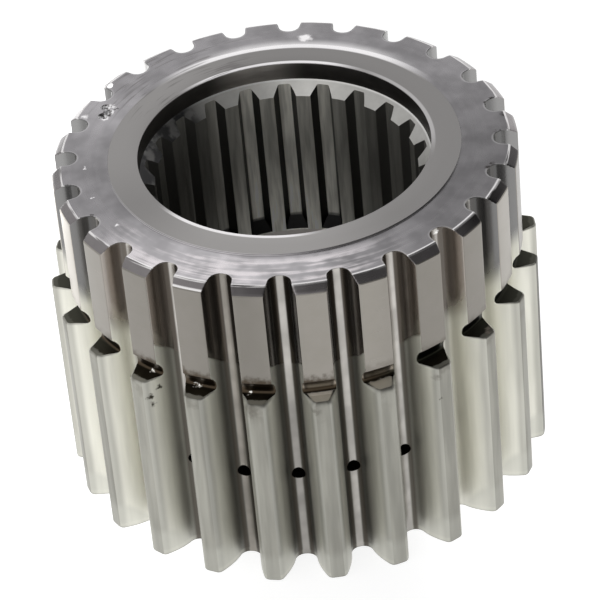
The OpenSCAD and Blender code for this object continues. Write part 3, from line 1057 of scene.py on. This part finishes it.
def shoulder_steel(s, n):
    """Shoulder and relief groove: painted shade in the pocket and on the groove's wall, painted
    gleams in the corner, and wear and flakes.
    """
    cloud = s.blotches(0.6)
    rubbed = s.near(*RUBBED_ARC)
    # Painted shade on the groove's wall: a brown wall darkening towards the corner.
    rise = n.mix(n.fade(s.z, FULL_FACE_W + 0.8, CROWN_Z), *RELIEF_COLOURS)
    # Painted shade: near black on the groove's wall away from one side of the gear.
    rise = n.mix(n.fade(s.off_from(180), 40, 52), rise, RELIEF_SHADE)
    rise = n.mix(n.product(rubbed, n.fade(s.z, *RELIEF_LIP_Z)), rise, RELIEF_LIP)
    flat = n.fade(s.z, FULL_FACE_W + 0.02, FULL_FACE_W + 0.12, 1.0, 0.0)
    # Painted shade: the pocket's floor is near black.
    base = n.mix(flat, rise, n.mix(cloud, *POCKET_SHADE_COLOURS))
    wear = n.total(n.product(0.6, s.near(*PARTLY_RUBBED_ARC)), n.product(1.9, rubbed))
    worn = n.fade(n.total(s.r, s.waver(1.2, 0.9), wear), *WORN_R)
    base = n.mix(n.product(worn, flat), base, n.mix(rubbed, *WORN_COLOURS))
    # A bright crescent on one worn shoulder: worn metal with a painted highlight.
    crescent = n.product(n.window(s.r, *CRESCENT_R, 0.15), s.near(*CRESCENT_ARC), flat)
    base = n.mix(crescent, base, GLEAM)
    # More painted shade on the pockets' floors away from the front.
    base = n.mix(n.product(flat, s.near(*FAR_ARC), 0.85), base, FAR_POCKET_SHADE)
    base = n.mix(s.spots(POCKET_FLAKES), base, FLAKE)
    # Painted gleams of highlight in the corners of some pockets.
    base = n.mix(s.spots(POCKET_GLEAMS), base, GLEAM)
    return s.finish(base, n.blend(flat, 0.3, 0.6), cloud, strength=0.3, distance=0.03)


def bore_steel(s, n):
    """Wall of the counterbore and, under the spline, of the plain bore, with painted light on its
    far side.
    """
    marks = s.turned_marks(fine=3.0)
    low = n.fade(s.z, *PLAIN_BORE_Z, 1.0, 0.0)
    high = n.fade(s.z, *PLAIN_BORE_Z)
    # Painted light: the far side of the plain bore and parts of the counterbore wall are lighter.
    tone = n.total(1.0, n.product(6.0, s.near(*BORE_LIT_ARC), low),
                   n.product(high, s.tone(0.0, WALL_TONES)))
    base = n.shade(n.mix(s.blotches(0.2), *BORE_COLOURS), tone)
    return s.finish(base, n.blend(marks, 0.25, 0.45), marks, strength=0.2,
                    metallic=n.blend(low, 1.0, 0.4))


def cone_steel(s, n):
    """Conical entry of the spline: painted light on its far side, a painted highlight on its rim
    and painted shade over one side.
    """
    marks = s.turned_marks(fine=4.0)
    # Painted light: lighter on the far side.
    base = n.shade(n.mix(s.blotches(0.5), *CONE_COLOURS), s.tone(0.5, CONE_TONES))
    # Painted highlight on the rim.
    rim = n.fade(s.r, COUNTERBORE_R - 0.3, COUNTERBORE_R - 0.15)
    base = n.mix(n.product(rim, s.tone(0.35, CONE_RIM_TONES)), base, GLINT_WHITE)
    # Painted shade over one side of the cone.
    shaded_side = n.product(s.near(*CONE_SHADE_ARC), n.fade(s.blotches(0.35), 0.42, 0.6, 1.0, 0.8), 0.97)
    base = n.mix(shaded_side, base, CONE_SHADE)
    return s.finish(base, n.blend(marks, 0.3, 0.5), marks, strength=0.2, distance=0.03)


def spline_steel(s, n):
    """The spline. Painted shade makes its sides and the ends of its spaces darker than its lands,
    and painted light brightens its far side and its lower part.
    """
    marks = s.axial_marks(fine=6.0)
    streaks = s.axial_marks(fine=1.0, along=0.1)
    land = n.fade(s.r, BORE_R + 0.06, BORE_R + 0.16, 1.0, 0.0)
    floor = n.fade(s.r, SPLINE_MAJOR_R - 0.2, SPLINE_MAJOR_R - 0.08)
    low = n.fade(s.z, *SPLINE_LOW_Z, 1.0, 0.0)
    # Painted shade: the sides between lands and floors are near black, and both are lighter lower
    # down.
    tone = n.total(n.product(land, n.total(0.45, n.product(low, 0.5))),
                   n.product(floor, n.total(0.75, n.product(low, 0.2))), 0.02)
    # Painted light on the far side.
    lit = s.near(*BORE_LIT_ARC)
    tone = n.product(tone, n.fade(streaks, 0.3, 0.7, 0.75, 1.2), n.total(0.22, n.product(0.9, lit)))
    tone = n.total(tone, n.product(0.07, n.math("SUBTRACT", 1.0, lit)))
    # Painted shade at the ends of the spaces.
    end = n.most(land, n.fade(s.z, SPLINE_END_Z - 0.1, SPLINE_END_Z + 0.4, 0.15, 1.0))
    base = n.shade(SPLINE_COLOUR, n.product(tone, end))
    return s.finish(base, n.blend(marks, 0.3, 0.5), marks, strength=0.2, metallic=0.5)


# Painted shade: the oil holes are near black inside.
def hole_steel(s, n):
    marks = s.blotches(2.0)
    return s.finish(n.mix(marks, *HOLE_SHADE_COLOURS), 0.6, marks, strength=0.3, distance=0.03)


def dent_steel(s, n):
    """Torn bright metal in the crater and the notch."""
    marks = s.blotches(1.6, 4.0)
    base = n.mix(n.fade(marks, 0.4, 0.55), *DENT_COLOURS)
    return s.finish(base, n.blend(marks, 0.25, 0.5), marks, strength=0.8, distance=0.12)


# In the order of SKINS
FINISHES = (face_steel, land_steel, chamfer_steel, flank_steel, tip_steel, shoulder_steel,
            bore_steel, cone_steel, spline_steel, hole_steel, dent_steel)


def build_gear():
    piece = add_object("sun_gear_body", gear_mesh())
    for name, dress in zip(SKINS, FINISHES):
        steel = Steel(name)
        piece.data.materials.append(dress(steel, steel.n))
    cut(piece, "oil_holes", oil_holes, "hole")
    for turn, shift in CRATER_SPOTS:
        cut(piece, "crater_ball", crater_ball(turn, shift), "dent")
    cut(piece, "notch", notch, "dent")
    cut(piece, "knocked_flat", knocked_flat, "dent")
    for face in piece.data.polygons:
        face.use_smooth = True
    piece.data.set_sharp_from_angle(angle=SHARP_ANGLE)
    return piece


gear = build_gear()
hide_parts(NODE)
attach(gear, "root")

# Camera, from the pose that the teeth and the bore give it in the photograph
CAMERA_ELEVATION = math.radians(37.62)
CAMERA_AZIMUTH = math.radians(-152.98)
CAMERA_ROLL = math.radians(5.505)
CAMERA_DISTANCE = 613.1 * MM
FOCAL_PX = 3636.0
FRAME_PX = 600.0
CENTRE_PX = (297.73, 288.75)
SENSOR_MM = 36
CLIP = (0.01, 20)


def make_camera():
    """The photograph's view. The frame's middle is a little off the middle of the gear."""
    data = bpy.data.cameras.new("camera")
    camera = add_object("camera", data)
    data.sensor_width = SENSOR_MM
    data.lens = data.sensor_width * FOCAL_PX / FRAME_PX
    data.clip_start, data.clip_end = CLIP
    middle = Vector((0, 0, HEIGHT * MM / 2))
    back = Vector((*polar(math.cos(CAMERA_ELEVATION), CAMERA_AZIMUTH),
                   math.sin(CAMERA_ELEVATION)))
    right = Vector((0, 0, 1)).cross(back).normalized()
    up = back.cross(right)
    turned_right = right * math.cos(CAMERA_ROLL) - up * math.sin(CAMERA_ROLL)
    turned_up = right * math.sin(CAMERA_ROLL) + up * math.cos(CAMERA_ROLL)
    place = middle + back * CAMERA_DISTANCE
    off_x = (CENTRE_PX[0] - FRAME_PX / 2) / FOCAL_PX
    off_y = (FRAME_PX / 2 - CENTRE_PX[1]) / FOCAL_PX
    aim_back = (back + turned_right * off_x + turned_up * off_y).normalized()
    aim_right = (turned_right - aim_back * turned_right.dot(aim_back)).normalized()
    aim_up = aim_back.cross(aim_right)
    turn = Matrix((aim_right, aim_up, aim_back)).transposed().to_4x4()
    camera.matrix_world = Matrix.Translation(place) @ turn
    bpy.context.scene.camera = camera


make_camera()

# Stage: the floor's own light, and the lit share that carries the gear's shadow
FLOOR_RADIUS = 1.6
FLOOR_SEGMENTS = 128
FLOOR_DROP = 0.05 * MM
FLOOR_GLOW = 0.84
FLOOR_TONE = 0.35
FLOOR_IN_BORE = 0.3
FLOOR_HOLE = (0.029, 0.034)

# Brighter directions of the floor: angle, cosines between which they fade in, and their share
FLOOR_SIDES = ((117, 0.2, 0.9, 0.32), (-63, 0.2, 0.9, 0.25))
FLOOR_GLINT = (63, 0.93, 0.985, 2.0)
GLINT_FROM = (0.08, 0.1)

# World: its strength, and the dark patch overhead with the cosines between which it fades in
SKY = 0.95
SKY_DARK = 0.12
DARK_TOWARDS = Vector((0.15, -0.55, 0.82)).normalized()
DARK_FADE = (0.55, 0.85)


def seen_directly(n):
    """1 for camera, glossy and transmission rays, which see the studio's own white."""
    path = n.add("LightPath")
    return n.most(path.outputs["Is Camera Ray"], path.outputs["Is Glossy Ray"],
                  path.outputs["Is Transmission Ray"])


def towards(n, place, angle, low, high, share):
    """How much brighter a place is for lying in the direction of an angle."""
    way = (*polar(1, math.radians(angle)), 0)
    along = n.vectors("DOT_PRODUCT", n.vectors("NORMALIZE", place)[0], way)["Value"]
    return n.product(n.fade(along, low, high), share)


def make_floor():
    """A white floor, brighter at both sides for the teeth to reflect. Inside the bore its
    own light is weak, so that the bore stays dark."""
    work = bmesh.new()
    bmesh.ops.create_circle(work, cap_ends=True, segments=FLOOR_SEGMENTS, radius=FLOOR_RADIUS)
    mesh = mesh_of(work, "floor")
    floor = add_object("floor", mesh)
    floor.location.z = -FLOOR_DROP
    material = bpy.data.materials.new("floor")
    n = Nodes(material)
    where = n.add("TexCoord").outputs["Object"]
    reach = n.vectors("LENGTH", where)["Value"]
    glint = n.product(towards(n, where, *FLOOR_GLINT), n.fade(reach, *GLINT_FROM))
    sides = n.total(1.0 - FLOOR_IN_BORE, glint, *[towards(n, where, *side) for side in FLOOR_SIDES])
    share = n.total(FLOOR_IN_BORE, n.product(n.fade(reach, *FLOOR_HOLE), sides))
    glow = n.product(seen_directly(n), FLOOR_GLOW, share)
    shine = n.add("Emission", Strength=glow)
    lit = n.add("BsdfDiffuse", Color=(FLOOR_TONE, FLOOR_TONE, FLOOR_TONE))
    both = n.add("AddShader")
    n.put(both.inputs[0], shine.outputs[0])
    n.put(both.inputs[1], lit.outputs[0])
    n.add("OutputMaterial", Surface=both.outputs[0])
    mesh.materials.append(material)


def make_world():
    """Even studio light with a dark patch overhead on one side, and white behind the gear."""
    world = bpy.data.worlds.new("studio")
    bpy.context.scene.world = world
    n = Nodes(world)
    ray = n.add("TexCoord").outputs["Generated"]
    facing = n.vectors("DOT_PRODUCT", ray, DARK_TOWARDS)["Value"]
    dark = n.fade(facing, *DARK_FADE)
    sky = n.add("Background", Color=(1, 1, 1), Strength=n.blend(dark, SKY, SKY_DARK))
    white = n.add("Background", Color=(1, 1, 1), Strength=1.0)
    path = n.add("LightPath")
    mix = n.add("MixShader", Fac=path.outputs["Is Camera Ray"])
    n.put(mix.inputs[1], sky.outputs[0])
    n.put(mix.inputs[2], white.outputs[0])
    n.add("OutputWorld", Surface=mix.outputs[0])


make_floor()
make_world()

bpy.context.scene.view_settings.view_transform = "Standard"
